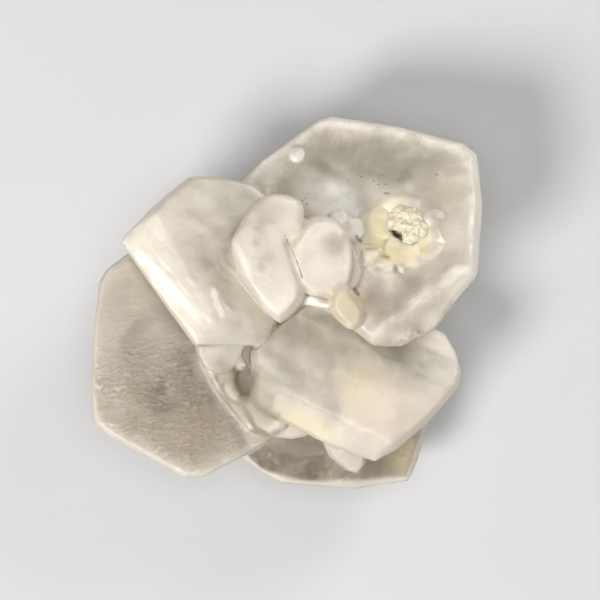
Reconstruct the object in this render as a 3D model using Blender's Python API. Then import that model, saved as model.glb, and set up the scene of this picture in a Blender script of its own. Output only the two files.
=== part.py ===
"""Gypsum rose: thick, flat-faced tabular crystals grown through each other, with a plug of crumbly clay
left in a hollow of the largest one. It rests on the flat underside of its lowest crystal.

Sizes are in millimetres; MM turns a finished mesh into metres. +Z is up and the rose lies on z = 0.
Outlines give each crystal's widest line as it is seen from straight above.
"""

from math import cos, pi, radians, sin, tan

import bmesh
import bpy
from mathutils import Vector

MM = 0.001

# Driving dimensions
TABLET = 4.2
THIN_TABLET = 2.0
FLAKE = 1.3
GAP = 0.34
HOLLOW_DEPTH = 1.4
DISH_DEPTH = 0.35
DISH_MARGIN = 0.9
CLAY_MIDDLE = (14.2, 8.4)
CLAY_REACH = 2.0
CLAY_SPOKES = 20

# Edge profiles: how far in from the widest line, in mm, a crystal has reached each share of its half
# thickness. Every step between two pairs is one flat bevel running all the way round.
SHARP = [(0.0, 0.45), (0.35, 1.0)]
BEVELLED = [(0.0, 0.3), (0.7, 1.0)]
ROUNDED = [(0.0, 0.1), (0.25, 0.6), (0.7, 1.0)]
LENS = [(0.0, 0.0), (0.3, 0.5), (0.7, 0.85)]


class Plane:
    """The middle plane of a crystal. It passes through middle and falls by lean degrees towards the
    compass angle toward, where 0 is +X and 90 is +Y."""

    def __init__(self, middle, toward, lean):
        self.middle = Vector(middle)
        self.slope = Vector((cos(radians(toward)), sin(radians(toward)), 0.0)) * tan(radians(lean))
        self.normal = Vector((self.slope.x, self.slope.y, 1.0)).normalized()
        self.across = Vector((-sin(radians(toward)), cos(radians(toward)), 0.0))
        self.along = self.across.cross(self.normal)

    def under(self, x, y):
        """The point of the plane seen at x, y from above."""
        return Vector((x, y, self.middle.z - self.slope.dot(Vector((x, y, 0)) - self.middle)))


def cut(mesh, point, outward):
    """Keep the part of a convex mesh behind a plane, and close it with one flat face."""
    everything = [*mesh.verts, *mesh.edges, *mesh.faces]
    done = bmesh.ops.bisect_plane(
        mesh, geom=everything, dist=1e-5, plane_co=point, plane_no=outward, clear_outer=True
    )
    edges = [e for e in done["geom_cut"] if isinstance(e, bmesh.types.BMEdge) and e.is_boundary]
    if edges:
        bmesh.ops.edgeloop_fill(mesh, edges=edges)


def crystal(
    name, plane, outline, thickness, upper=BEVELLED, lower=BEVELLED, facets=(), dish=0.0, margin=DISH_MARGIN
):
    """A crystal cut out of a slab, one flat face at a time.

    outline: points of the plane. upper, lower: its edge profiles. facets: ridges drawn on the upper face
    as (x1, y1, x2, y2, fall); the face drops by fall degrees on the right-hand side of each ridge.
    dish: how far the middle of the upper face lies under its rim, which is margin wide."""
    half = thickness / 2
    centre = sum(outline, Vector()) / len(outline)
    reach = 1.5 * max((p - centre).length for p in outline)
    mesh = bmesh.new()
    bmesh.ops.create_cube(mesh, size=2.0)
    for v in mesh.verts:
        u, w, up = v.co
        v.co = centre + plane.along * u * reach + plane.across * w * reach + plane.normal * up * half
    for a, b in zip(outline, outline[1:] + outline[:1]):
        out = (b - a).cross(plane.normal).normalized()
        if out.dot(a - centre) < 0:
            out = -out
        cut(mesh, a, out)
        for profile, up in ((upper, plane.normal), (lower, -plane.normal)):
            for (in_1, rise_1), (in_2, rise_2) in zip(profile, profile[1:]):
                edge = a - out * in_1 + up * rise_1 * half
                cut(mesh, edge, out * (rise_2 - rise_1) * half + up * (in_2 - in_1))
    for x1, y1, x2, y2, fall in facets:
        start = plane.under(x1, y1) + plane.normal * half
        ridge = (plane.under(x2, y2) - plane.under(x1, y1)).normalized()
        right = ridge.cross(plane.normal)
        cut(mesh, start, plane.normal * cos(radians(fall)) + right * sin(radians(fall)))
    cut(mesh, Vector((0, 0, 0)), Vector((0, 0, -1)))
    if dish:
        top = max(mesh.faces, key=lambda f: f.normal.dot(plane.normal) * f.calc_area())
        bmesh.ops.inset_region(mesh, faces=[top], thickness=margin, depth=-dish)
    return new_object(name, mesh)


def seen(plane, *points):
    """Outline points of a plane from what is seen at each x, y."""
    return [plane.under(x, y) for x, y in points]


def six_sided(plane, length, width, turn=0.0):
    """The outline of a whole tablet: two parallel sides and a blunt point at each end, its length turned
    by turn degrees from the way its plane falls."""
    tip = 0.29 * width
    corners = [
        (length / 2, 0.08 * width), (length / 2 - tip, width / 2), (tip - length / 2, width / 2),
        (-length / 2, -0.08 * width), (tip - length / 2, -width / 2), (length / 2 - tip, -width / 2),
    ]
    c, s = cos(radians(turn)), sin(radians(turn))
    return [
        plane.middle + plane.along * (c * u - s * v) + plane.across * (s * u + c * v) for u, v in corners
    ]


def new_object(name, mesh):
    bmesh.ops.dissolve_degenerate(mesh, dist=0.01, edges=mesh.edges)
    bmesh.ops.recalc_face_normals(mesh, faces=mesh.faces)
    bmesh.ops.scale(mesh, vec=(MM, MM, MM), verts=mesh.verts)
    data = bpy.data.meshes.new(name)
    mesh.to_mesh(data)
    mesh.free()
    thing = bpy.data.objects.new(name, data)
    bpy.context.scene.collection.objects.link(thing)
    return thing


def material(name, colour, roughness):
    made = bpy.data.materials.new(name)
    made.use_nodes = True
    shader = made.node_tree.nodes["Principled BSDF"]
    shader.inputs["Base Color"].default_value = (*colour, 1.0)
    shader.inputs["Roughness"].default_value = roughness
    shader.inputs["Metallic"].default_value = 0.0
    return made


# The five large tablets
UPPER_RIGHT = Plane((9.0, 9.0, 12.3), toward=124.5, lean=14)
UPPER_LEFT = Plane((-9.0, 4.5, 13.9), toward=36, lean=20)
LEFT = Plane((-10.5, -7.5, 9.2), toward=41, lean=8)
LOWER_RIGHT = Plane((8.0, -9.5, 12.3), toward=63.5, lean=17)
LOWEST = Plane((5.8, -11.0, 6.6), toward=80, lean=4)


def large_tablets():
    # Dished upper face with a bright rim, and one wide bevel towards the lower right
    yield crystal(
        "upper_right",
        UPPER_RIGHT,
        seen(
            UPPER_RIGHT, (5.4, 21.4), (12.7, 20.3), (20.6, 18.1), (22.0, 16.8), (22.5, 11.3),
            (21.9, 3.2), (16.9, -2.9), (13.2, -4.8), (10.0, -4.8), (3.1, 0.6), (-4.6, 6.8), (-6.6, 10.6),
            (-5.1, 13.8), (-2.5, 16.5), (1.6, 19.4), (4.0, 21.1),
        ),
        TABLET,
        facets=[(12.6, -2.0, 21.9, 4.4, 25)],
        dish=DISH_DEPTH,
    )
    # Two long bevels along its lower left side
    yield crystal(
        "upper_left",
        UPPER_LEFT,
        seen(
            UPPER_LEFT, (-18.4, 6.9), (-17.8, 8.4), (-15.3, 10.6), (-12.6, 13.5), (-11.0, 14.3), (-8.1, 14.4),
            (-4.0, 13.7), (0.0, 10.1), (0.8, 1.5), (-1.2, -2.5), (-2.6, -4.8), (-10.1, -4.8), (-14.4, 1.3),
        ),
        TABLET,
        facets=[(-15.2, 9.6, -8.6, -2.0, 24), (-16.6, 8.2, -9.6, -3.4, 42), (-10.1, -2.2, -1.6, -1.2, 26)],
    )
    yield crystal(
        "left",
        LEFT,
        seen(
            LEFT, (-20.7, 3.8), (-21.5, 2.3), (-22.2, -4.3), (-22.4, -10.6), (-21.9, -14.0), (-20.1, -15.4),
            (-11.7, -20.1), (-9.4, -20.1), (-4.6, -17.6), (-0.8, -15.4), (1.7, -11.2), (0.6, -0.8),
            (-6.3, 7.2), (-14.4, 8.6),
        ),
        TABLET,
        SHARP,
        facets=[(-9.0, -18.9, -1.0, -14.4, 12)],
    )
    # A broad bevel along the lower left in two parts, and a gentle facet to the right
    yield crystal(
        "lower_right",
        LOWER_RIGHT,
        seen(
            LOWER_RIGHT, (-0.9, -2.5), (2.3, 0.0), (10.9, -1.7), (16.9, -2.9), (18.4, -3.7), (19.6, -5.8),
            (20.2, -8.1), (19.9, -9.8), (16.3, -13.8), (12.7, -16.7), (10.0, -18.1), (8.4, -17.8),
            (4.6, -15.8), (0.6, -14.3), (-2.6, -12.3), (-3.9, -10.6), (-4.0, -5.6),
        ),
        TABLET * 1.1,
        facets=[(-3.4, -9.4, 1.7, -11.7, 36), (1.7, -11.7, 9.2, -15.8, 31), (19.0, -10.6, 10.9, -6.6, 14)],
    )
    yield crystal(
        "lowest",
        LOWEST,
        seen(
            LOWEST, (-5.1, -18.0), (-2.9, -19.7), (-0.4, -21.0), (8.2, -21.6), (14.3, -20.7), (15.3, -18.6),
            (16.7, -14.2), (16.3, -7.9), (10.9, -2.0), (1.7, -0.8), (-5.2, -6.6), (-6.8, -13.5),
        ),
        TABLET,
        facets=[(-3.0, -16.6, 3.4, -18.4, 18), (5.0, -17.8, 14.5, -17.2, 16)],
    )


def small_crystals():
    """The heart of the rose and what fills the corners between the large tablets."""
    # A thin sheet between the left and the lower right tablets
    plane = Plane((-3.0, -9.0, 10.6), toward=34, lean=4)
    yield crystal(
        "blade",
        plane,
        seen(
            plane, (-9.8, -4.8), (-9.7, -6.9), (-8.1, -10.0), (-4.0, -15.1), (-0.8, -15.5), (1.2, -15.9),
            (2.3, -15.4), (6.3, -14.6), (6.3, -5.4), (-2.9, -2.0), (-8.1, -2.5),
        ),
        THIN_TABLET,
        SHARP,
    )
    # The small crystal under the lower end of the upper left tablet
    plane = Plane((-7.4, -5.2, 12.7), toward=290, lean=16)
    yield crystal(
        "end_crystal",
        plane,
        seen(
            plane, (-10.2, -3.0), (-4.2, -3.0), (-4.6, -4.9), (-5.6, -6.8), (-6.6, -7.8), (-8.1, -7.8),
            (-9.4, -7.0), (-10.2, -5.4),
        ),
        TABLET,
        SHARP,
    )
    # Splinters that stand in the gap over the thin sheet
    for name, middle, toward, lean, corners in (
        ("splinter_back", (-6.8, -7.9, 12.3), 300, 14,
         [(-8.1, -7.3), (-6.3, -6.6), (-5.3, -7.8), (-5.8, -9.0), (-7.6, -9.2)]),
        ("splinter_wedge", (-5.3, -6.7, 13.2), 20, 18,
         [(-6.4, -5.2), (-5.4, -5.2), (-4.3, -7.2), (-5.0, -7.9), (-6.1, -7.0)]),
        ("splinter_front", (-6.0, -9.9, 11.6), 215, 16,
         [(-7.3, -8.7), (-6.1, -8.3), (-5.0, -10.1), (-4.7, -11.3), (-5.9, -11.5), (-6.9, -10.3)]),
        ("splinter_side", (-3.2, -12.4, 12.4), 230, 17,
         [(-5.3, -10.9), (-3.3, -10.3), (-0.5, -12.0), (0.5, -14.2), (-1.5, -15.2), (-3.6, -14.0)]),
    ):
        plane = Plane(middle, toward, lean)
        yield crystal(name, plane, seen(plane, *corners), THIN_TABLET, SHARP)
    # The far plate of the heart
    plane = Plane((-1.5, 8.5, 15.9), toward=80, lean=12)
    yield crystal(
        "heart_back",
        plane,
        seen(
            plane, (-5.1, 8.9), (-4.0, 10.8), (-2.6, 11.9), (-1.2, 12.3), (0.4, 12.1), (1.8, 11.5),
            (2.2, 10.6), (2.0, 7.0), (-1.6, 4.4), (-4.9, 5.6),
        ),
        TABLET,
        facets=[(-3.4, 12.0, -3.6, 7.0, 18)],
    )
    # The near plate of the heart, with a steep facet along its left side
    plane = Plane((-1.7, 3.6, 16.5), toward=118, lean=9)
    yield crystal(
        "heart_front",
        plane,
        seen(
            plane, (-0.1, 9.0), (0.8, 6.2), (1.6, 3.7), (2.3, 1.5), (2.1, 0.0), (1.0, -1.2), (-0.5, -2.2),
            (-1.6, -2.0), (-2.4, -0.9), (-4.7, 0.8), (-5.3, 2.9), (-5.8, 5.0), (-6.0, 7.0), (-5.1, 8.7),
            (-2.6, 9.8),
        ),
        TABLET * 1.2,
        facets=[(-5.0, 8.8, -3.3, -0.6, 48), (-3.6, 1.7, 1.0, 0.3, 14)],
    )
    # The rounded crystal of the heart, dished, with a raised band all round
    plane = Plane((4.6, 5.0, 16.2), toward=345, lean=9)
    yield crystal(
        "heart_right",
        plane,
        seen(
            plane, (0.2, 6.5), (1.3, 8.0), (2.1, 9.2), (3.1, 9.8), (4.6, 9.9), (6.0, 9.3), (6.9, 8.2),
            (7.6, 6.7), (7.8, 4.8), (7.6, 2.6), (6.2, 0.9), (4.8, 0.5), (2.9, 0.5), (1.2, 2.0), (0.4, 4.4),
        ),
        TABLET * 1.1,
        ROUNDED,
        dish=DISH_DEPTH / 2,
        margin=0.6,
    )
    # The low wing at its side
    plane = Plane((6.4, 3.8, 14.6), toward=10, lean=9)
    yield crystal(
        "heart_right_rim",
        plane,
        seen(
            plane, (5.0, 7.4), (7.6, 6.7), (8.2, 5.4), (8.7, 3.5), (8.4, 2.2), (7.8, 1.4), (5.6, 1.2),
            (4.2, 4.0),
        ),
        TABLET,
        SHARP,
    )
    # The short stout crystal over the corner between the two right tablets
    plane = Plane((7.0, -0.4, 17.0), toward=285, lean=9)
    yield crystal(
        "bud",
        plane,
        seen(
            plane, (6.6, 2.6), (7.4, 1.8), (8.3, 0.6), (9.0, -0.5), (9.1, -1.4), (8.7, -2.4), (7.9, -3.0),
            (7.0, -2.9), (5.7, -1.7), (4.9, -0.6), (5.0, 0.9), (5.5, 2.0),
        ),
        TABLET * 0.75,
    )
    # A bar under the edge of the heart
    plane = Plane((3.7, 0.1, 14.9), toward=300, lean=6)
    yield crystal(
        "sliver",
        plane,
        seen(plane, (1.6, 1.0), (3.2, 0.9), (5.2, 0.2), (5.2, -0.8), (3.7, -0.5), (1.8, -0.2)),
        TABLET,
        SHARP,
    )
    # A stub under the tip of the lower right tablet
    plane = Plane((7.0, -17.0, 10.6), toward=280, lean=16)
    yield crystal(
        "nub",
        plane,
        seen(plane, (4.2, -15.6), (9.6, -15.8), (9.4, -18.4), (8.4, -19.6), (7.1, -19.2), (5.0, -17.4)),
        TABLET,
    )
    # Broken white chips behind the rounded crystal
    plane = Plane((6.0, 9.2, 14.1), toward=120, lean=24)
    yield crystal(
        "chip_left",
        plane,
        seen(plane, (4.9, 9.7), (6.0, 10.4), (7.3, 10.1), (7.9, 8.9), (6.2, 7.6)),
        TABLET * 0.8,
        SHARP,
    )
    plane = Plane((7.6, 8.2, 14.2), toward=20, lean=22)
    yield crystal(
        "chip_right",
        plane,
        seen(plane, (6.7, 9.4), (7.8, 9.8), (8.6, 9.1), (8.7, 7.6), (8.0, 6.5), (6.6, 7.2)),
        TABLET * 0.8,
        SHARP,
    )
    # A low shelf on the upper right tablet
    plane = Plane((10.8, 4.0, 14.2), toward=100, lean=7)
    yield crystal(
        "shelf",
        plane,
        seen(
            plane, (7.4, 7.0), (11.0, 6.4), (13.2, 4.7), (13.9, 3.2), (12.9, 2.0), (10.7, 1.6), (8.0, 1.4),
            (6.9, 3.4),
        ),
        TABLET * 0.6,
        SHARP,
    )
    # Flat crystals, grown nearly level with the upper right tablet, that meet round the clay
    for name, x, y, height, toward, lean, corners in (
        ("honey_left", 10.3, 8.4, 0.2, 95, 12,
         [(8.4, 10.2), (10.9, 11.4), (12.9, 10.7), (12.6, 6.6), (12.1, 6.0), (10.0, 5.8), (8.4, 6.6)]),
        ("honey_back", 13.4, 11.2, 0.3, 148, 10,
         [(10.7, 11.2), (11.6, 12.2), (13.7, 12.5), (15.4, 11.9), (16.3, 10.4), (14.4, 8.9), (12.3, 9.8)]),
        ("honey_front", 13.3, 5.4, 0.3, 112, 20,
         [(11.6, 7.4), (13.7, 8.4), (15.6, 7.6), (15.6, 5.4), (15.1, 4.1), (13.5, 3.4), (11.8, 4.5),
          (11.2, 6.0)]),
        ("honey_right", 16.4, 6.5, 0.2, 140, 18,
         [(15.0, 9.0), (17.6, 8.4), (18.2, 6.3), (16.9, 4.8), (15.3, 4.6)]),
        ("shard_left", 9.8, 4.8, 1.0, 330, 10,
         [(8.8, 6.0), (10.6, 6.1), (11.1, 4.5), (9.9, 3.4), (8.7, 4.2)]),
        ("shard_right", 11.7, 4.2, 0.8, 200, 8, [(10.8, 5.3), (12.6, 4.7), (12.5, 3.2), (10.9, 3.3)]),
    ):
        above = (TABLET - FLAKE) / 2 - DISH_DEPTH + height
        plane = Plane(UPPER_RIGHT.under(x, y) + UPPER_RIGHT.normal * above, toward, lean)
        yield crystal(name, plane, seen(plane, *corners), FLAKE, SHARP)
    # Two tiny round crystals lying on the upper right tablet
    for name, x, y, radius in (("lens", 17.2, 9.2, 1.25), ("disc", 1.6, 16.7, 1.0)):
        on_top = UPPER_RIGHT.under(x, y) + UPPER_RIGHT.normal * (TABLET / 2 - DISH_DEPTH)
        plane = Plane(on_top, toward=124.5, lean=14)
        ring = [2 * pi * i / 9 for i in range(9)]
        outline = [on_top + (plane.along * cos(a) + plane.across * sin(a)) * radius for a in ring]
        yield crystal(name, plane, outline, 1.4, LENS, SHARP)


def under_tablets():
    """The crystals that only show from the sides and from below. foot carries the rose."""
    for name, middle, toward, lean, length, width, turn in (
        ("foot", (-0.5, -1.0, 2.1), 0, 0, 25.0, 17.5, 14),
        ("foot_right", (4.5, 3.0, 3.6), 35, 13, 21.0, 14.5, 76),
        ("foot_left", (-5.5, -5.0, 4.0), 215, 16, 19.0, 13.0, 118),
        ("under_right", (9.5, 8.0, 7.0), 205, 56, 16.5, 13.0, 30),
        ("under_left", (-8.5, 3.0, 6.8), 325, 50, 16.0, 12.5, 55),
        ("under_front", (8.5, -10.0, 4.8), 95, 36, 14.0, 10.0, 20),
        ("under_corner", (-9.5, -10.0, 4.8), 245, 56, 12.0, 11.0, 15),
        ("under_back", (1.5, 10.0, 6.6), 300, 46, 15.0, 12.0, 70),
        ("under_tip", (15.5, 10.5, 8.4), 50, 30, 11.0, 8.0, 10),
        ("under_edge", (-15.0, -7.5, 6.4), 200, 34, 12.0, 8.5, 80),
    ):
        plane = Plane(middle, toward, lean)
        yield crystal(name, plane, six_sided(plane, length, width, turn), TABLET * 1.15)


def clay_outline(reach=0.0):
    """Points of the clay's outline, moved outwards by reach, measured along and across the tablet."""
    for i in range(CLAY_SPOKES):
        a = 2 * pi * i / CLAY_SPOKES
        wide = CLAY_REACH + 0.16 * sin(2 * a + 0.6) + 0.1 * sin(5 * a + 1.0) + reach
        yield wide * cos(a), 0.95 * wide * sin(a)


def hollow():
    """The hollow that the clay sits in, as the shape taken out of the upper right tablet."""
    middle = UPPER_RIGHT.under(*CLAY_MIDDLE) + UPPER_RIGHT.normal * (TABLET / 2)
    mesh = bmesh.new()
    loops = []
    for reach, height in ((GAP, -HOLLOW_DEPTH), (GAP + 0.1, -0.5 * HOLLOW_DEPTH), (GAP + 0.35, 1.5)):
        loop = []
        for x, y in clay_outline(reach):
            at = middle + UPPER_RIGHT.along * x + UPPER_RIGHT.across * y + UPPER_RIGHT.normal * height
            loop.append(mesh.verts.new(at))
        loops.append(loop)
    for below, above in zip(loops, loops[1:]):
        for i in range(CLAY_SPOKES):
            j = (i + 1) % CLAY_SPOKES
            mesh.faces.new((below[i], below[j], above[j], above[i]))
    mesh.faces.new(loops[0])
    mesh.faces.new(loops[-1])
    return new_object("hollow", mesh)


def clay_crust():
    """A crumbly plug of clay on the floor of the hollow: rings of lumps round a small open hole."""
    rings = 7
    at = UPPER_RIGHT.under(*CLAY_MIDDLE) + UPPER_RIGHT.normal * (TABLET / 2 - HOLLOW_DEPTH + GAP)
    mesh = bmesh.new()
    floor, skin = [], []
    for ring in range(1, rings + 1):
        share = ring / rings
        loop = []
        for x, y in clay_outline():
            x, y = x * share, y * share
            lumps = 0.22 * sin(3.1 * x + 1.0) * sin(3.4 * y + 0.4) + 0.1 * sin(6.3 * x + 2.0) * sin(5.7 * y)
            hole = 1.3 * max(0.0, 1.0 - (x * x + (y - 1.35) ** 2) / 0.5)
            height = max(0.25, 1.5 * (1.0 - 0.4 * share**4) + lumps * (1.0 - share**6) - hole)
            loop.append(at + UPPER_RIGHT.along * x + UPPER_RIGHT.across * y + UPPER_RIGHT.normal * height)
        skin.append([mesh.verts.new(p) for p in loop])
    for point in loop:
        floor.append(mesh.verts.new(point - UPPER_RIGHT.normal * (point - at).dot(UPPER_RIGHT.normal)))
    crown = mesh.verts.new(at + UPPER_RIGHT.normal * 1.6)
    for i in range(CLAY_SPOKES):
        j = (i + 1) % CLAY_SPOKES
        mesh.faces.new((crown, skin[0][i], skin[0][j]))
        for inner, outer in zip(skin, skin[1:] + [floor]):
            mesh.faces.new((inner[i], outer[i], outer[j], inner[j]))
    mesh.faces.new(floor)
    return new_object("clay_crust", mesh)


for thing in list(bpy.data.objects):
    bpy.data.objects.remove(thing)

gypsum = material("gypsum", (0.80, 0.76, 0.68), 0.35)
clay = material("clay", (0.72, 0.64, 0.46), 0.95)

crystals = [*under_tablets(), *large_tablets(), *small_crystals()]
rose = crystals[0]
rose.name = "rose"
rose.data.materials.append(gypsum)

grown = bpy.data.collections.new("grown_together")
bpy.context.scene.collection.children.link(grown)
for piece in crystals[1:]:
    bpy.context.scene.collection.objects.unlink(piece)
    grown.objects.link(piece)
    piece.hide_render = True
    piece.display_type = "WIRE"
union = rose.modifiers.new("grown_together", "BOOLEAN")
union.operation = "UNION"
union.operand_type = "COLLECTION"
union.collection = grown
union.solver = "EXACT"

cutter = hollow()
cutter.hide_render = True
cutter.display_type = "WIRE"
pocket = rose.modifiers.new("hollow", "BOOLEAN")
pocket.operation = "DIFFERENCE"
pocket.object = cutter
pocket.solver = "EXACT"

crust = clay_crust()
crust.data.materials.append(clay)
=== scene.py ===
from math import cos, pi, radians, sin, tan

import bmesh
import bpy
import numpy as np
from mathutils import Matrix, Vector, noise


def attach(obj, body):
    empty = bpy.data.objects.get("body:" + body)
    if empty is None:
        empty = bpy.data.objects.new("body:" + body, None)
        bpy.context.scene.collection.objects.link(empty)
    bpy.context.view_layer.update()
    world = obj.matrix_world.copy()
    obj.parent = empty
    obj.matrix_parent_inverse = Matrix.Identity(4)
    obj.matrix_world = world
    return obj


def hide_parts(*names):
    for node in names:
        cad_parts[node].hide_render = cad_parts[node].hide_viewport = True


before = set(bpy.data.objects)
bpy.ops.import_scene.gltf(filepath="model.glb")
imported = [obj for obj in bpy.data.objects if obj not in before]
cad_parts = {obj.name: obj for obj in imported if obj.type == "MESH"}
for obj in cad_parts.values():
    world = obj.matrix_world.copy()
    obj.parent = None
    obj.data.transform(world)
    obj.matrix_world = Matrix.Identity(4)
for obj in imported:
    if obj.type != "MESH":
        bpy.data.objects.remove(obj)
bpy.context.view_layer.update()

MM = 0.001


# The rose: all its gypsum tablets, grown through each other into one body of milky, half clear mineral.
# Nothing holds it together but its own growth. Its skin is the solid's own, drawn over with a fine net of
# points, so that edges can be worn and chipped and faces can carry growth steps, pits and broken places.

NET = 0.18  # mm between the points of the skin
TRIANGLES = 170000  # what is kept of them where the skin is flat


def skin_of(node, name, net):
    """A copy of a solid's surface as an even net of points that lie on it, in a new object."""
    shell = bmesh.new()
    shell.from_mesh(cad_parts[node].data)
    bmesh.ops.remove_doubles(shell, verts=shell.verts, dist=1e-7)
    mesh = bpy.data.meshes.new(name)
    shell.to_mesh(mesh)
    shell.free()
    piece = bpy.data.objects.new(name, mesh)
    bpy.context.scene.collection.objects.link(piece)
    remesh = piece.modifiers.new("net", "REMESH")
    remesh.mode = "VOXEL"
    remesh.voxel_size = net * MM
    remesh.adaptivity = 0.0
    onto_faces = piece.modifiers.new("onto_faces", "SHRINKWRAP")
    onto_faces.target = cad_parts[node]
    onto_faces.wrap_method = "NEAREST_SURFACEPOINT"
    netted = bpy.data.meshes.new_from_object(piece.evaluated_get(bpy.context.evaluated_depsgraph_get()))
    netted.name = name
    piece.modifiers.clear()
    piece.data = netted
    netted.materials.clear()
    netted.shade_smooth()
    return piece


def points_of(piece):
    found = np.empty(len(piece.data.vertices) * 3, np.float32)
    piece.data.vertices.foreach_get("co", found)
    return found.reshape(-1, 3).astype(np.float64) / MM


def set_points(piece, points):
    piece.data.vertices.foreach_set("co", (points * MM).astype(np.float32).ravel())
    piece.data.update()


def normals_of(piece):
    found = np.empty(len(piece.data.vertices) * 3, np.float32)
    piece.data.vertex_normals.foreach_get("vector", found)
    return found.reshape(-1, 3).astype(np.float64)


def edges_of(piece):
    found = np.empty(len(piece.data.edges) * 2, np.int32)
    piece.data.edges.foreach_get("vertices", found)
    return found.reshape(-1, 2)


def evened(points, edges, times, share=0.5):
    """The points, each drawn a share of the way to its neighbours' mean, times over."""
    count = np.bincount(edges.ravel(), minlength=len(points)).astype(np.float64)
    points = points.copy()
    for _ in range(times):
        total = np.empty_like(points)
        for k in range(points.shape[1]):
            total[:, k] = np.bincount(edges[:, 0], points[edges[:, 1], k], len(points))
            total[:, k] += np.bincount(edges[:, 1], points[edges[:, 0], k], len(points))
        points += share * (total / count[:, None] - points)
    return points


def cloud(points, across, seed=0.0, octaves=3):
    """Soft noise from about -1 to 1, in lumps about across mm wide; across may be a triple."""
    at = points / np.broadcast_to(np.asarray(across, float), (3,)) + seed
    return np.array([noise.fractal(p, 0.6, 2.1, octaves) for p in at])


def between(values, low, high):
    """0 at low, 1 at high and smooth between; low may be the larger one."""
    t = np.clip((values - low) / (high - low), 0.0, 1.0)
    return t * t * (3.0 - 2.0 * t)


def spot(x, y, wide, high=None, turn=0.0):
    """1 in the middle of an oval seen from above, falling softly to 0 at its edge."""
    dx, dy = points[:, 0] - x, points[:, 1] - y
    c, s = cos(radians(turn)), sin(radians(turn))
    u, v = (c * dx + s * dy) / wide, (c * dy - s * dx) / (high or wide)
    return between(np.sqrt(u * u + v * v) + 0.22 * waver, 1.0, 0.3)


def streak(x1, y1, x2, y2, wide):
    """1 along a line seen from above, falling softly to 0 at half its width and at its ends."""
    a, b = np.array([x1, y1]), np.array([x2, y2])
    t = np.clip((points[:, :2] - a) @ (b - a) / ((b - a) @ (b - a)), 0.0, 1.0)
    off = np.linalg.norm(points[:, :2] - (a + t[:, None] * (b - a)), axis=1) + 0.12 * wide * waver
    return between(off, wide / 2, wide / 8) * between(np.minimum(t, 1 - t), -0.01, 0.15)


def standing_out(times):
    """How far, in mm, each point stands out of its surroundings; negative where it lies in a nook."""
    return np.einsum("ij,ij->i", points - evened(points, edges, times), normals)


def broken(zone, across, seed, tilt):
    """Heights, in mm, that break a face up into flat chips about across mm wide, each tilted its own way."""
    heights = np.zeros(len(points))
    for i in np.nonzero(zone > 0.01)[0]:
        at = Vector(points[i]) / across + Vector((seed, seed, seed))
        near = noise.voronoi(at)[1][0]
        lean = noise.noise_vector(near * 9.7 + Vector((0.5, 0.3, 0.1)))
        heights[i] = zone[i] * across * tilt * ((at - near).dot(lean) * 2.0 + 0.5 * lean.z)
    return heights


rose = skin_of("rose", "rose_crystals", NET)
edges = edges_of(rose)
points = evened(points_of(rose), edges, 1)
set_points(rose, points)
normals = normals_of(rose)
waver = cloud(points, 2.2, 81.0)

# Worn edges: rounder in some stretches than in others, and nicked here and there
wear = between(cloud(points, 2.5, 11.0), -0.4, 0.6)[:, None]
points += (evened(points, edges, 7) - points) * (0.25 + 0.75 * wear)
set_points(rose, points)
normals = normals_of(rose)

# The crest of the upper right tablet's lower edge, and the shards at the foot of the upper left one, are
# licked quite round
licked = streak(11.0, -4.2, 21.0, 4.6, 6.5) * between(normals[:, 2], 0.3, 0.6)
points += (evened(points, edges, 60) - points) * licked[:, None]
licked = spot(-4.2, -10.8, 3.4, 5.2, 38) * between(normals[:, 2], 0.0, 0.4) * between(points[:, 2], 8.6, 9.6)
points += (evened(points, edges, 40) - points) * licked[:, None]
licked = streak(-3.4, -8.6, 11.9, -15.7, 4.0) * between(normals[:, 2], 0.2, 0.5)
points += (evened(points, edges, 30) - points) * licked[:, None]
licked = spot(1.0, 5.2, 9.5, 8.5) * between(points[:, 2], 14.8, 16.0)
points += (evened(points, edges, 14) - points) * licked[:, None]
set_points(rose, points)
normals = normals_of(rose)
nicks = between(cloud(points, 0.6, 17.0, 3), 0.2, 0.5) * between(cloud(points, 3.0, 19.0, 2), -0.1, 0.4)
points -= normals * (0.16 * nicks * between(standing_out(10), 0.01, 0.09))[:, None]
set_points(rose, points)
normals = normals_of(rose)

# The upper faces of the five large tablets: a point of the middle plane, where it falls to, how steeply
FACES = {
    "upper_right": ((9.0, 9.0, 12.3), 124.5, 14, 2.1),
    "upper_left": ((-9.0, 4.5, 13.9), 36, 20, 2.1),
    "left": ((-10.5, -7.5, 9.2), 41, 8, 2.1),
    "lower_right": ((8.0, -9.5, 12.3), 63.5, 17, 2.31),
    "lowest": ((5.8, -11.0, 6.6), 80, 4, 2.1),
}


def above(name):
    """How far each point lies above that tablet's upper face, in mm, and how much it faces the same way."""
    middle, toward, lean, up = FACES[name]
    slope = Vector((cos(radians(toward)), sin(radians(toward)), 0.0)) * tan(radians(lean))
    normal = np.array(Vector((slope.x, slope.y, 1.0)).normalized())
    return (points - np.array(middle)) @ normal - up, normals @ normal


def face(name, reach=0.75):
    """1 where a point lies on that tablet's upper face."""
    height, facing = above(name)
    return between(np.abs(height + 0.2), reach, reach * 0.7) * between(facing, 0.8, 0.93)


def turned(degrees):
    """The points, turned so that x runs along a line at that angle as seen from above."""
    c, s = cos(radians(degrees)), sin(radians(degrees))
    return points @ np.array([(c, -s, 0), (s, c, 0), (0, 0, 1)])


def ripple_marks(apart, seed):
    """0 to 1 for short bent crests that lie nearly level across the photo, about apart mm from each other."""
    across = points[:, 1] - 0.22 * points[:, 0]
    crest = 0.5 + 0.5 * np.cos(2 * pi * (across / apart + 0.7 * cloud(points, 1.3, seed, 2)))
    return crest**1.6 * between(cloud(points, (1.1, 0.6, 1.1), seed + 5.0, 2), -0.3, 0.25)


upper_right, upper_left, left, lower_right, lowest = (face(name) for name in FACES)
top = between(normals[:, 2], 0.05, 0.5)

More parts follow.
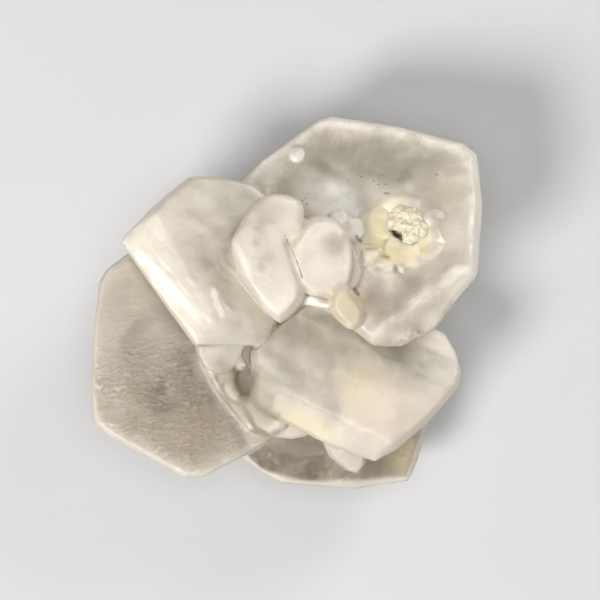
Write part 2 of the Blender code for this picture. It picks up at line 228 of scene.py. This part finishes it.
# Relief in mm: faint waves on every face, growth lines round the sides, ripples on the left tablet,
# splintered ground at the tips
heights = 0.03 * cloud(points, 4.5, 31.0)
upright = between(np.abs(normals[:, 2]), 0.55, 0.35)
heights += 0.035 * upright * cloud(points, (5.0, 5.0, 0.5), 67.0, 2)
chipped = top * np.maximum(0.6 * spot(10.2, 4.4, 2.4, 1.8), 0.3 * spot(6.5, -19.8, 8.0, 1.4, 2))
heights += broken(chipped, 0.9, 7.0, 0.2)
heights += broken(top * spot(14.0, -3.9, 4.2, 1.2, 20), 0.65, 9.0, 0.2)
rippled = left * (0.25 + 0.75 * between(points[:, 1], -3.0, -9.0))
heights += 0.05 * rippled * (ripple_marks(0.68, 3.0) - 0.35)
heights += 0.05 * lowest * cloud(points, (1.2, 0.7, 2.0), 21.0)
heights += broken(top * 0.8 * spot(7.2, 8.8, 2.4, 3.0), 0.8, 11.0, 0.17)
wet = top * streak(-17.4, 7.2, -7.4, -3.4, 9.0)
heights += 0.13 * wet * cloud(turned(-52), (3.2, 0.75, 3.0), 44.0, 2)
heights += 0.04 * upper_left * spot(-8.5, 8.5, 7.5, 6.0) * (ripple_marks(0.8, 23.0) - 0.35)
for x, y, size, deep in ((12.9, 14.2, 0.4, 0.12), (10.6, 13.4, 0.35, 0.1), (16.2, 13.2, 0.4, 0.1)):
    heights -= deep * np.exp(-((points[:, 0] - x) ** 2 + (points[:, 1] - y) ** 2) / (size * size)) * top
for i, radius in enumerate((1.6, 2.5, 3.3)):
    arc = np.hypot(points[:, 0] + 5.0, points[:, 1] - 5.6) - radius + 0.15 * waver
    heights -= 0.05 * np.exp(-((arc / 0.22) ** 2)) * upper_left * between(points[:, 0], -5.0, -6.5)
points += normals * heights[:, None]

# The hollow's rim leans in over the clay, closer in some places than in others
from_clay = points[:, :2] - (13.9, 8.8)
away = np.linalg.norm(from_clay, axis=1)
lean = (0.34 + 0.12 * waver) * between(away, 3.3, 2.6) * between(points[:, 2], 13.6, 14.2)
points[:, :2] -= from_clay / np.maximum(away, 0.1)[:, None] * lean[:, None]
points[:, 2] = np.maximum(points[:, 2], 0.01)
set_points(rose, points)

# Flat stretches give up most of their points
thin = rose.modifiers.new("thin", "DECIMATE")
thin.ratio = TRIANGLES / (2 * len(rose.data.polygons))
rose.data = bpy.data.meshes.new_from_object(rose.evaluated_get(bpy.context.evaluated_depsgraph_get()))
rose.modifiers.clear()
edges, points, normals = edges_of(rose), points_of(rose), normals_of(rose)
waver = cloud(points, 2.2, 81.0)
upper_right, upper_left, left, lower_right, lowest = (face(name) for name in FACES)
top = between(normals[:, 2], 0.05, 0.5)
edge = between(standing_out(5), 0.01, 0.08)
shoulder = between(standing_out(40), 0.05, 0.45)
crease = standing_out(8)
nook = between(-standing_out(30), 0.04, 0.4)
rim = upper_right * between(above("upper_right")[0] + 0.2 * waver, -0.34, -0.02)
rim *= 1 - np.minimum(1.0, 3 * spot(9.5, 8.5, 13.0, 11.0))
inner_left, inner_lowest = (between(evened(m[:, None], edges, 70)[:, 0], 0.35, 1.0) for m in (left, lowest))
rippled = left * (0.2 + 0.8 * between(points[:, 1] + waver, -3.0, -9.0)) * (0.3 + 0.7 * inner_left)

# Colour and clearness. The body is a cream white milk; it clears to smoke grey where it is thin and
# flawless, stains brown deep down and honey yellow near the clay, and frosts white on veils. Its edges
# are whitened partly as frost and partly as painted highlight, some bevels carry painted highlights, and
# its nooks, creases and clefts carry painted shade.
CREAM = (0.95, 0.92, 0.87)
SMOKE = (0.74, 0.72, 0.66)
BROWN = (0.60, 0.54, 0.45)
DEEP = (0.48, 0.42, 0.34)
WHITE = (0.99, 0.98, 0.95)
HONEY = (0.93, 0.88, 0.73)
OLIVE = (0.78, 0.73, 0.57)
ROSY = (0.96, 0.90, 0.85)


def linear(colour):
    return np.array([c / 12.92 if c <= 0.04045 else ((c + 0.055) / 1.055) ** 2.4 for c in colour])


tint = np.tile(linear(CREAM), (len(points), 1))
clear = np.full(len(points), 0.4)


def stain_and_painted_light(colour, amount, clearness=None):
    """Lays a colour over the body, which in some places is a stain and in others painted light and shade, and
    sets how clear the body is there.
    """
    amount = np.clip(amount, 0.0, 1.0)
    tint[:] = tint + (linear(colour) - tint) * amount[:, None]
    if clearness is not None:
        clear[:] = clear + (clearness - clear) * amount


broad = cloud(points, 6.0, 51.0)
fine = cloud(points, 1.1, 61.0)
side = 1 - top
stain_and_painted_light(SMOKE, 0.5 * between(broad, 0.0, 0.6) * side, 0.65)
stain_and_painted_light(HONEY, 0.4 * between(cloud(points, 5.0, 57.0), 0.1, 0.6) * side, 0.4)
stain_and_painted_light(BROWN, 0.5 * between(points[:, 2], 9.0, 3.0) * between(broad, 0.2, -0.4), 0.5)
# Left and lowest tablets: thin, brownish and rather clear, paler towards their rims
stain_and_painted_light(BROWN, inner_left * (0.46 + 0.1 * between(broad, -0.3, 0.5)), 0.6)
stain_and_painted_light(BROWN, inner_left * 0.3 * spot(-8.5, -5.5, 6.0, 3.5, -60), 0.7)
stain_and_painted_light(BROWN, inner_left * 0.7 * spot(-12.5, -14.0, 9.0, 5.5, -20))
stain_and_painted_light(BROWN, left * 0.15)
stain_and_painted_light(DEEP, inner_left * 0.4 * spot(-14.6, -10.2, 1.8, 1.1, 25), 0.7)
stain_and_painted_light(DEEP, inner_left * 0.25 * streak(-12.6, -5.0, -7.5, -11.5, 2.2), 0.7)
stain_and_painted_light(BROWN, 0.95 * inner_lowest, 0.6)
stain_and_painted_light(BROWN, 0.5 * lowest, 0.6)
stain_and_painted_light(DEEP, lowest * spot(-0.5, -18.5, 8.0, 3.8), 0.6)
stain_and_painted_light(DEEP, lowest * 0.7 * spot(9.5, -19.5, 5.0, 2.6), 0.6)
stain_and_painted_light(OLIVE, lowest * 0.6 * spot(14.0, -17.5, 3.0, 3.2), 0.5)
# Upper right tablet: smoke grey in its dish, cream on its rim, a white veil across, streaks below
stain_and_painted_light(SMOKE, upper_right * 0.72 * spot(9.0, 16.3, 13.0, 4.6, -10), 0.7)
stain_and_painted_light(SMOKE, upper_right * 0.35 * spot(-1.0, 14.8, 4.5, 3.5, 45), 0.6)
stain_and_painted_light(SMOKE, upper_right * 0.45 * spot(17.0, 12.5, 5.5, 6.0), 0.6)
stain_and_painted_light(SMOKE, upper_right * 0.45 * spot(17.5, 3.5, 5.0, 5.0), 0.5)
stain_and_painted_light(SMOKE, top * spot(14.8, 0.2, 8.5, 3.8, 40) * between(lower_right, 0.3, 0.0), 0.6)
stain_and_painted_light(BROWN, top * 0.35 * spot(14.8, 0.2, 8.5, 3.8, 40) * between(lower_right, 0.3, 0.0), 0.6)
stain_and_painted_light(BROWN, top * 0.3 * spot(10.4, 1.4, 1.8, 2.2), 0.6)
veined = 0.7 + 0.5 * between(cloud(turned(-40), (2.4, 0.6, 2.4), 37.0, 2), -0.2, 0.3)
stain_and_painted_light(WHITE, upper_right * veined * spot(5.4, 11.5, 6.0, 3.0, -42), 0.15)
stain_and_painted_light(WHITE, upper_right * 0.4 * veined * spot(9.0, 13.6, 5.0, 1.6, -20), 0.3)
stain_and_painted_light(CREAM, rim * 0.7, 0.35)
stain_and_painted_light(WHITE, rim * 0.35 * between(fine, -0.1, 0.3), 0.1)
# A broken white line down the right of the tablet: a painted glint off a cleavage plane
stain_and_painted_light(WHITE, upper_right * 0.6 * streak(21.0, 11.8, 21.2, 3.4, 0.7) * between(fine, -0.2, 0.2), 0.1)
outside = between(points[:, 1] + 0.6 * points[:, 0], 10.5, 13.0) * between(points[:, 2], 8.5, 10.0)
stain_and_painted_light(WHITE, 0.6 * outside * between(normals[:, 2], 0.1, 0.4) * (1 - upper_right), 0.2)
# Round the clay: honey yellow facets, olive in patches and where they are deepest, a clear lens to the right;
# the olive in the creases between the facets is painted shade, the cream on their ridges painted highlight
honey = top * np.minimum(1.0, 1.8 * spot(13.0, 7.8, 5.4, 5.0))
stain_and_painted_light(HONEY, honey, 0.12)
stain_and_painted_light(OLIVE, 0.15 * honey * np.maximum(spot(14.0, 11.6, 2.8, 1.4), spot(8.9, 8.5, 1.2, 2.6)), 0.2)
stain_and_painted_light(OLIVE, 0.15 * honey * spot(13.3, 4.6, 2.4, 1.4), 0.2)
stain_and_painted_light(OLIVE, 0.4 * honey * between(fine, 0.0, -0.4), 0.3)
# Olive in the creases between facets: painted shade; cream on their ridges: painted highlight
stain_and_painted_light(OLIVE, 0.6 * honey * between(crease, -0.006, -0.04), 0.3)
stain_and_painted_light(CREAM, 0.5 * honey * between(crease, 0.006, 0.04), 0.15)
# Grey on the shard tip below the clay: painted shade that dims its glint from the key light
stain_and_painted_light(SMOKE, top * 0.7 * spot(13.3, 3.8, 1.3, 1.1), 0.5)
stain_and_painted_light(ROSY, top * 0.8 * spot(17.2, 9.2, 1.5), 0.6)
stain_and_painted_light(WHITE, top * 0.8 * streak(15.8, 7.4, 18.3, 6.9, 0.5), 0.05)
stain_and_painted_light(WHITE, top * 0.5 * spot(7.3, 8.6, 1.9, 2.6) * between(fine, -0.3, 0.3), 0.1)
stain_and_painted_light(SMOKE, top * 0.35 * spot(9.9, 4.6, 2.2, 1.8), 0.4)
stain_and_painted_light(WHITE, top * 0.3 * spot(9.9, 4.6, 1.5, 1.6) * between(fine, -0.3, 0.3), 0.1)
# Upper left tablet: even and milky, with two white strips along its bevel that are painted highlights
stain_and_painted_light(SMOKE, upper_left * (0.2 + 0.25 * spot(-6.5, 10.5, 5.0, 3.5)), 0.45)
stain_and_painted_light(SMOKE, upper_left * 0.3 * spot(-8.5, 2.5, 3.2, 4.5, 30), 0.5)
stain_and_painted_light(WHITE, top * 0.9 * streak(-17.2, 6.4, -9.2, -2.2, 1.5), 0.05)
stain_and_painted_light(WHITE, top * 0.9 * streak(-8.2, 1.8, -6.9, -1.8, 0.8), 0.05)
stain_and_painted_light(WHITE, top * 0.4 * spot(-6.5, -3.6, 4.6, 2.2), 0.2)
# Lower right tablet: a grey window, a yellow heart, rosy towards the tip
marble = cloud(turned(-25), (3.2, 1.0, 3.2), 91.0)
marbled = np.maximum(lower_right * between(points[:, 1], -12.0, -8.0), 0.7 * upper_left)
stain_and_painted_light(SMOKE, lower_right * 0.2 * spot(2.6, -4.4, 6.5, 3.2, -15), 0.6)
stain_and_painted_light(WHITE, marbled * 0.25 * between(marble, 0.05, 0.45), 0.25)
stain_and_painted_light(SMOKE, marbled * 0.3 * between(marble, -0.05, -0.5), 0.55)
stain_and_painted_light(SMOKE, lower_right * 0.7 * spot(15.5, -6.5, 5.5, 4.2, -25), 0.5)
stain_and_painted_light(HONEY, top * 0.6 * spot(9.0, -10.0, 4.0, 4.5), 0.25)
stain_and_painted_light(HONEY, top * 0.6 * spot(2.0, -13.5, 6.5, 2.2, -25), 0.3)
stain_and_painted_light(ROSY, lower_right * 0.5 * spot(10.0, -12.5, 6.5, 4.5, 40), 0.2)
# The heart and the corners
heart = top * between(points[:, 2], 16.0, 17.0)
stain_and_painted_light(WHITE, 0.4 * heart, 0.27)
stain_and_painted_light(ROSY, 0.25 * heart)
stain_and_painted_light(ROSY, 0.9 * heart * spot(5.8, 6.6, 2.2, 2.0), 0.6)
stain_and_painted_light(SMOKE, 0.35 * heart * spot(5.9, 6.4, 1.4, 1.2), 0.6)
stain_and_painted_light(WHITE, 0.3 * heart * spot(3.8, 3.6, 2.4, 2.2), 0.2)
# A white streak down the left bevel of the heart's front crystal: painted highlight
stain_and_painted_light(WHITE, 0.6 * heart * streak(-5.7, 7.2, -3.7, 2.4, 1.3), 0.1)
stain_and_painted_light(SMOKE, 0.4 * heart * streak(-3.2, 9.5, -2.4, 3.0, 2.2) * between(fine, -0.2, 0.4), 0.6)
stain_and_painted_light(SMOKE, 0.35 * heart * spot(-2.2, 10.6, 3.0, 1.6), 0.5)
stain_and_painted_light(HONEY, top * 0.6 * spot(7.1, -0.4, 2.9, 3.8, 50), 0.4)
stain_and_painted_light(OLIVE, top * 0.25 * spot(7.1, -0.4, 2.2, 3.0, 50))
stain_and_painted_light(WHITE, top * 0.8 * streak(2.3, 0.3, 5.2, -0.4, 1.6), 0.05)
corner = top * np.minimum(1.0, 1.8 * spot(-4.5, -11.0, 4.0, 5.6, 35)) * between(left, 0.3, 0.0)
corner *= between(points[:, 1] + 0.9 * points[:, 0], -9.0, -11.0)
stain_and_painted_light(CREAM, corner, 0.5)
stain_and_painted_light(OLIVE, 0.42 * corner, 0.6)
stain_and_painted_light(BROWN, 0.8 * corner * spot(-4.8, -8.2, 1.4, 3.0, 10), 0.7)
stain_and_painted_light(DEEP, top * 0.7 * spot(-4.5, -7.4, 1.1, 2.8, 8) * between(points[:, 2], 11.5, 10.5), 0.8)
# Grey in the creases of the corner: painted shade
stain_and_painted_light(SMOKE, 0.4 * corner * between(crease, -0.006, -0.04), 0.5)
slab = top * np.minimum(1.0, 1.6 * spot(-2.6, -13.8, 3.0, 2.2, -35)) * between(points[:, 2], 8.6, 9.4)
slab *= between(lower_right, 0.3, 0.0)
stain_and_painted_light(HONEY, 0.8 * slab, 0.5)
stain_and_painted_light(SMOKE, 0.5 * slab, 0.6)
stain_and_painted_light(SMOKE, 0.5 * top * spot(-6.9, -6.9, 1.0, 1.4, 20), 0.5)
stain_and_painted_light(WHITE, 0.25 * top * spot(-6.1, -10.0, 0.9, 1.7, 20), 0.3)
# Edges whitened: partly frost, partly painted highlight for the light the bevels catch from all round
stain_and_painted_light(WHITE, 0.3 * edge * (1 - left) * (1 - lowest) * between(fine, -0.3, 0.3), 0.1)
# Brown in the nooks between the tablets: painted shade
stain_and_painted_light(BROWN, 0.15 * nook)


def keep_on(piece, name, values):
    """Stores a value, a place or a colour for each point, for the material to read."""
    kind = {1: "FLOAT", 2: "FLOAT_VECTOR"}[values.ndim]
    layer = piece.data.attributes.new(name, kind, "POINT")
    layer.data.foreach_set("value" if kind == "FLOAT" else "vector", values.astype(np.float32).ravel())


keep_on(rose, "tint", tint)
keep_on(rose, "clearness", clear)
keep_on(rose, "frost", edge + 0.4 * shoulder + 0.9 * corner)
keep_on(rose, "ripples", rippled)
keep_on(rose, "crests", ripple_marks(0.68, 3.0))
keep_on(rose, "upward", top)
pitting = np.maximum(spot(9.5, 13.8, 3.4, 1.5, -5), spot(17.2, 14.4, 1.6, 1.2))
pitting = np.maximum(pitting, spot(2.9, 11.2, 1.6, 2.2))
keep_on(rose, "pitting", upper_right * np.minimum(1.0, 1.5 * pitting))

# Which way the fine threads inside each face run: level round the sides, along the bevels, in from the rims
upright = between(np.abs(normals[:, 2]), 0.55, 0.35)
lie = points + (points[:, [0, 2, 1]] - points) * upright[:, None]
threads = 0.45 * upright
for where, degrees, strong in (
    (upper_left, -52, 0.1),
    (lower_right, -35, 0.1),
    (lower_right * spot(16.5, -5.0, 4.5, 4.0), -60, 1.0),
    (upper_right * between(points[:, 1], 13.0, 15.5), 70, 0.6),
    (upper_right * between(points[:, 0], 16.0, 18.5), 5, 0.6),
    (upper_right * spot(5.4, 11.5, 6.0, 3.0, -42), -42, 0.5),
    (top * spot(14.8, 0.2, 9.0, 3.6, 40) * between(lower_right, 0.3, 0.0), 38, 1.0),
):
    lie += (turned(degrees) - lie) * where[:, None]
    threads += (strong - threads) * where
keep_on(rose, "lie", lie)
keep_on(rose, "threads", threads)


class Nodes:
    """A material's node tree, written as nested calls. Lengths in the textures are millimetres."""

    def __init__(self, name):
        self.material = bpy.data.materials.new(name)
        self.material.use_nodes = True
        self.tree = self.material.node_tree
        self.shader = self.tree.nodes["Principled BSDF"]
        where = self.add("ShaderNodeTexCoord").outputs["Object"]
        self.where = self.vector("SCALE", where, scale=1 / MM)

    def add(self, kind, settings=None, **inputs):
        node = self.tree.nodes.new(kind)
        for key, value in (settings or {}).items():
            setattr(node, key, value)
        for key, value in inputs.items():
            self.plug(node.inputs[key.replace("_", " ")], value)
        return node

    def plug(self, socket, value):
        if isinstance(value, bpy.types.NodeSocket):
            self.tree.links.new(value, socket)
        else:
            socket.default_value = value

    def read(self, attribute, kind="Fac"):
        return self.add("ShaderNodeAttribute", {"attribute_name": attribute}).outputs[kind]

    def maths(self, operation, a, b=0.0, c=0.0):
        node = self.add("ShaderNodeMath", {"operation": operation})
        for socket, value in zip(node.inputs, (a, b, c)):
            self.plug(socket, value)
        return node.outputs[0]

    def vector(self, operation, a, b=(0, 0, 0), scale=1.0):
        node = self.add("ShaderNodeVectorMath", {"operation": operation})
        self.plug(node.inputs[0], a)
        self.plug(node.inputs[1], b)
        self.plug(node.inputs[3], scale)
        return node.outputs[1 if operation in ("DOT_PRODUCT", "LENGTH") else 0]

    def mixed(self, amount, a, b, blend="MIX"):
        node = self.add("ShaderNodeMix", {"data_type": "RGBA", "blend_type": blend})
        sockets = [s for s in node.inputs if s.enabled]
        for socket, value in zip(sockets, (amount, a, b)):
            self.plug(socket, value)
        return next(s for s in node.outputs if s.enabled)

    def ramp(self, value, low, high, out_low=0.0, out_high=1.0):
        node = self.add("ShaderNodeMapRange", {"clamp": True})
        for socket, given in zip(node.inputs, (value, low, high, out_low, out_high)):
            self.plug(socket, given)
        return node.outputs["Result"]

    def grey(self, value):
        return self.add("ShaderNodeCombineColor", Red=value, Green=value, Blue=value).outputs[0]

    def grain(self, across, detail=3.0, stretch=(1, 1, 1), rough=0.5, where=None):
        """Noise in lumps about across mm wide, drawn out by stretch along each axis."""
        squeezed = tuple(1 / (across * s) for s in stretch)
        at = self.vector("MULTIPLY", where or self.where, squeezed)
        noise_at = self.add("ShaderNodeTexNoise", Vector=at, Scale=1.0, Detail=detail, Roughness=rough)
        return noise_at.outputs["Fac"]

    def line(self, wobble, x1, y1, x2, y2, wide):
        """1 on a thin line seen from above, wide mm across, 0 off it."""
        flat = self.vector("MULTIPLY", self.where, (1, 1, 0))
        from_start = self.vector("SUBTRACT", flat, (x1, y1, 0))
        run = Vector((x2 - x1, y2 - y1, 0))
        share = self.vector("DOT_PRODUCT", from_start, tuple(run / run.dot(run)))
        share = self.ramp(share, 0.0, 1.0)
        along = self.vector("SCALE", tuple(run), scale=share)
        off = self.vector("LENGTH", self.vector("SUBTRACT", from_start, along))
        return self.ramp(self.maths("ADD", off, wobble), wide / 2, wide / 5)


# The milky body: cloudy veils and fine threads inside it, and the ripples of the left tablet, which are
# short ridges, bent like scales, half a millimetre apart, their crests painted lighter as painted highlight
gypsum = Nodes("milky_gypsum")
veils = gypsum.grain(2.4, 3.0)
bends = gypsum.add("ShaderNodeTexNoise", Vector=gypsum.where, Scale=0.7, Detail=1.0).outputs["Color"]
bent = gypsum.vector("ADD", gypsum.where, gypsum.vector("SCALE", bends, scale=1.3))
ridges = gypsum.grain(0.36, 2.0, stretch=(2.6, 1.0, 2.6), where=bent)
ridge = gypsum.ramp(gypsum.maths("ABSOLUTE", gypsum.maths("SUBTRACT", ridges, 0.5)), 0.12, 0.0)
patchy = gypsum.ramp(veils, 0.38, 0.56, 0.35, 1.15)
ripples = gypsum.maths("MULTIPLY", gypsum.read("ripples"), patchy)
thread = gypsum.grain(0.2, 2.0, stretch=(8.0, 1.0, 8.0), where=gypsum.read("lie", "Vector"))
threads = gypsum.maths("MULTIPLY", gypsum.read("threads"), patchy)
speckle = gypsum.grain(0.22, 2.0)


def lighter(shade, pattern, middle, amount):
    """The shade, made lighter where the pattern is above its middle and darker where it is below."""
    return gypsum.maths("MULTIPLY_ADD", gypsum.maths("SUBTRACT", pattern, middle), amount, shade)


crests = gypsum.read("crests")
wisps = gypsum.ramp(gypsum.maths("ABSOLUTE", gypsum.maths("SUBTRACT", veils, 0.52)), 0.03, 0.0)
shade = gypsum.ramp(veils, 0.3, 0.7, 0.92, 1.04)
shade = lighter(shade, wisps, 0.2, 0.05)
# The ripples' crests and ridges lightened: painted highlight on their raised parts
shade = lighter(shade, crests, 0.35, gypsum.maths("MULTIPLY", ripples, 0.4))
shade = lighter(shade, ridge, 0.4, gypsum.maths("MULTIPLY", ripples, 0.26))
shade = lighter(shade, thread, 0.5, gypsum.maths("MULTIPLY", threads, 0.55))
shade = lighter(shade, speckle, 0.5, 0.12)
body_colour = gypsum.mixed(1.0, gypsum.read("tint", "Color"), gypsum.grey(shade), "MULTIPLY")

# Dark pits a fifth of a millimetre across, and painted shade along the clefts between the crystals of the
# heart
drawn_out = gypsum.vector("MULTIPLY", gypsum.where, (1.3, 2.4, 1.3))
pits = gypsum.add("ShaderNodeTexVoronoi", {"feature": "F1"}, Vector=drawn_out, Scale=1.0, Randomness=1.0)
pit = gypsum.maths("MULTIPLY", gypsum.ramp(pits.outputs["Distance"], 0.3, 0.18), gypsum.read("pitting"))
pit = gypsum.maths("MULTIPLY", pit, gypsum.ramp(veils, 0.44, 0.5))
wobble = gypsum.ramp(speckle, 0.2, 0.8, -0.08, 0.08)
clefts = None
for cleft in (
    (0.0, 7.6, 1.3, 4.9, 0.12), (1.3, 4.9, 2.0, 2.8, 0.24), (2.3, 0.95, 4.8, 0.4, 0.2),
    (8.1, 7.5, 8.6, 7.0, 0.5), (7.9, 1.6, 8.3, 1.0, 0.5), (11.3, 12.5, 11.9, 12.5, 0.22),
):
    found = gypsum.line(wobble, *cleft)
    clefts = found if clefts is None else gypsum.maths("MAXIMUM", clefts, found)
clefts = gypsum.maths("MULTIPLY", clefts, gypsum.read("upward"))
dark = gypsum.maths("MAXIMUM", gypsum.maths("MULTIPLY", pit, 0.8), gypsum.maths("MULTIPLY", clefts, 0.75))
body_colour = gypsum.mixed(dark, body_colour, (0.15, 0.125, 0.09, 1.0))

# Satin faces, duller on the worn edges
rough = gypsum.ramp(veils, 0.3, 0.7, 0.31, 0.42)
rough = gypsum.maths("MULTIPLY_ADD", gypsum.read("frost"), 0.15, rough)
height = gypsum.maths("MULTIPLY", gypsum.maths("MULTIPLY_ADD", ridge, 0.4, crests), ripples)
height = gypsum.maths("MULTIPLY_ADD", gypsum.maths("MULTIPLY", thread, threads), 0.7, height)
height = gypsum.maths("MULTIPLY_ADD", speckle, 0.25, height)
bump = gypsum.add("ShaderNodeBump", Strength=0.5, Distance=0.12 * MM, Height=height)
shader = gypsum.shader
gypsum.plug(shader.inputs["Base Color"], body_colour)
gypsum.plug(shader.inputs["Roughness"], rough)
gypsum.plug(shader.inputs["Normal"], bump.outputs["Normal"])
gypsum.plug(shader.inputs["Transmission Weight"], gypsum.ramp(gypsum.read("clearness"), 0.0, 0.7, 0.3, 0.9))
shader.inputs["IOR"].default_value = 1.52
shader.inputs["Subsurface Weight"].default_value = 0.6
shader.inputs["Subsurface Radius"].default_value = (1.0, 0.92, 0.78)
shader.inputs["Subsurface Scale"].default_value = 1.8 * MM
absorb = gypsum.add("ShaderNodeVolumeAbsorption")
absorb.inputs["Color"].default_value = (0.86, 0.80, 0.68, 1.0)
absorb.inputs["Density"].default_value = 20.0
gypsum.tree.links.new(absorb.outputs[0], gypsum.tree.nodes["Material Output"].inputs["Volume"])

rose.data.materials.append(gypsum.material)
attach(rose, "root")
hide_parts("rose")


# The clay: a plug of dry, beige, crumbly clay packed into the hollow of the upper right tablet, where it
# stuck when the rest was washed out. Its lumps are half a millimetre across, with painted shade in the
# cracks between them and an open hole painted near black as shade.

crust = skin_of("clay_crust", "clay_crust_grains", 0.085)
edges = edges_of(crust)
points = evened(points_of(crust), edges, 2)
set_points(crust, points)
normals = normals_of(crust)


def lumps(across, seed):
    """1 in the middle of each rounded lump, about across mm wide, and 0 in the cracks between them."""
    found = [noise.voronoi(Vector(p) / across + Vector((seed, 0, 0)))[0] for p in points]
    return np.array([min(1.0, 1.6 * (d[1] - d[0])) for d in found])


# It is pressed out against the hollow's wall, lumpy on top, with an open hole at its lower left
MIDDLE, HOLE = np.array([13.9, 8.8]), np.array([12.45, 7.45])
outer = between(normals[:, 2], -0.3, 0.3)
from_middle = points[:, :2] - MIDDLE
away = np.linalg.norm(from_middle, axis=1)
points[:, :2] += from_middle / np.maximum(away, 0.1)[:, None] * (0.4 * between(away, 0.8, 1.9))[:, None]
large, small = lumps(0.95, 3.0), lumps(0.4, 8.0)
sunk = between(np.linalg.norm(points[:, :2] - HOLE, axis=1) + 0.2 * cloud(points, 0.5, 5.0), 0.95, 0.4)
heights = 0.2 * (large - 0.6) + 0.09 * (small - 0.5) + 0.17 * cloud(points, 1.2, 70.0) - 0.8 * sunk
points += normals * (outer * heights)[:, None]
set_points(crust, points)
keep_on(crust, "cracks", (1.0 - between(large, 0.0, 0.3)) * (1.0 - 0.6 * small))
keep_on(crust, "hole", sunk)

clay = Nodes("dry_clay")
speckle = clay.grain(0.4, 4.0)
pale = clay.mixed(clay.ramp(speckle, 0.35, 0.65), (0.44, 0.395, 0.285, 1.0), (0.57, 0.52, 0.405, 1.0))
# Dark in the cracks between the lumps: painted shade
cracks = clay.maths("MULTIPLY", clay.read("cracks"), clay.ramp(clay.grain(0.8, 2.0), 0.45, 0.62, 0.0, 0.3))
clay_colour = clay.mixed(cracks, pale, (0.17, 0.135, 0.08, 1.0))
# The open hole painted near black: painted shade
hollow = clay.maths("MULTIPLY", clay.read("hole"), 0.95)
clay_colour = clay.mixed(hollow, clay_colour, (0.02, 0.015, 0.008, 1.0))
clay.plug(clay.shader.inputs["Base Color"], clay_colour)
clay.plug(clay.shader.inputs["Roughness"], clay.ramp(speckle, 0.3, 0.7, 0.75, 0.95))
clay_bump = clay.add("ShaderNodeBump", Strength=0.7, Distance=0.06 * MM, Height=clay.grain(0.22, 5.0))
clay.plug(clay.shader.inputs["Normal"], clay_bump.outputs["Normal"])
crust.data.materials.append(clay.material)
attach(crust, "root")
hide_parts("clay_crust")


# The floor: a plain matt board in pale grey, wide enough to fill every view.

FLOOR_REACH = 0.9
board = bmesh.new()
bmesh.ops.create_grid(board, x_segments=8, y_segments=8, size=FLOOR_REACH)
floor_mesh = bpy.data.meshes.new("floor")
board.to_mesh(floor_mesh)
board.free()
floor = bpy.data.objects.new("floor", floor_mesh)
bpy.context.scene.collection.objects.link(floor)
matt = Nodes("matt_board")
matt_colour = matt.mixed(matt.grain(18.0, 2.0), (0.405, 0.405, 0.41, 1.0), (0.42, 0.42, 0.425, 1.0))
matt.plug(matt.shader.inputs["Base Color"], matt_colour)
matt.shader.inputs["Roughness"].default_value = 0.9
floor.data.materials.append(matt.material)


# The light: a soft key from the lower left of the photo that runs along the bevels, a weaker one from the
# top right, one overhead, and a dim even surround.

CENTRE = Vector((0.0, 0.0, 0.010))


def soft_light(name, place, size, power, colour):
    lamp = bpy.data.lights.new(name, "AREA")
    lamp.shape = "DISK"
    lamp.size = size
    lamp.energy = power
    lamp.color = colour
    thing = bpy.data.objects.new(name, lamp)
    thing.location = place
    thing.rotation_euler = (CENTRE - Vector(place)).to_track_quat("-Z", "Y").to_euler()
    bpy.context.scene.collection.objects.link(thing)


soft_light("key", (-0.27, -0.26, 0.36), 0.20, 3.5, (1.0, 0.975, 0.95))
soft_light("back", (0.30, 0.34, 0.22), 0.20, 1.4, (1.0, 0.985, 0.97))
soft_light("overhead", (0.02, 0.0, 0.60), 0.45, 1.9, (1.0, 1.0, 1.0))

surround = bpy.data.worlds.new("surround")
surround.use_nodes = True
surround.node_tree.nodes["Background"].inputs["Color"].default_value = (0.95, 0.97, 1.0, 1.0)
surround.node_tree.nodes["Background"].inputs["Strength"].default_value = 0.28
bpy.context.scene.world = surround
bpy.context.scene.view_settings.view_transform = "Standard"
bpy.context.scene.view_settings.look = "None"


# The camera: straight above the rose, as in the photo, far enough off for a flat perspective.

lens = bpy.data.cameras.new("camera")
lens.lens = 150.0
lens.sensor_width = 36.0
lens.clip_start = 0.01
lens.clip_end = 5.0
camera = bpy.data.objects.new("camera", lens)
camera.location = (1.725 * MM, 0.345 * MM, 0.011 + 0.2875)
bpy.context.scene.collection.objects.link(camera)
bpy.context.scene.camera = camera
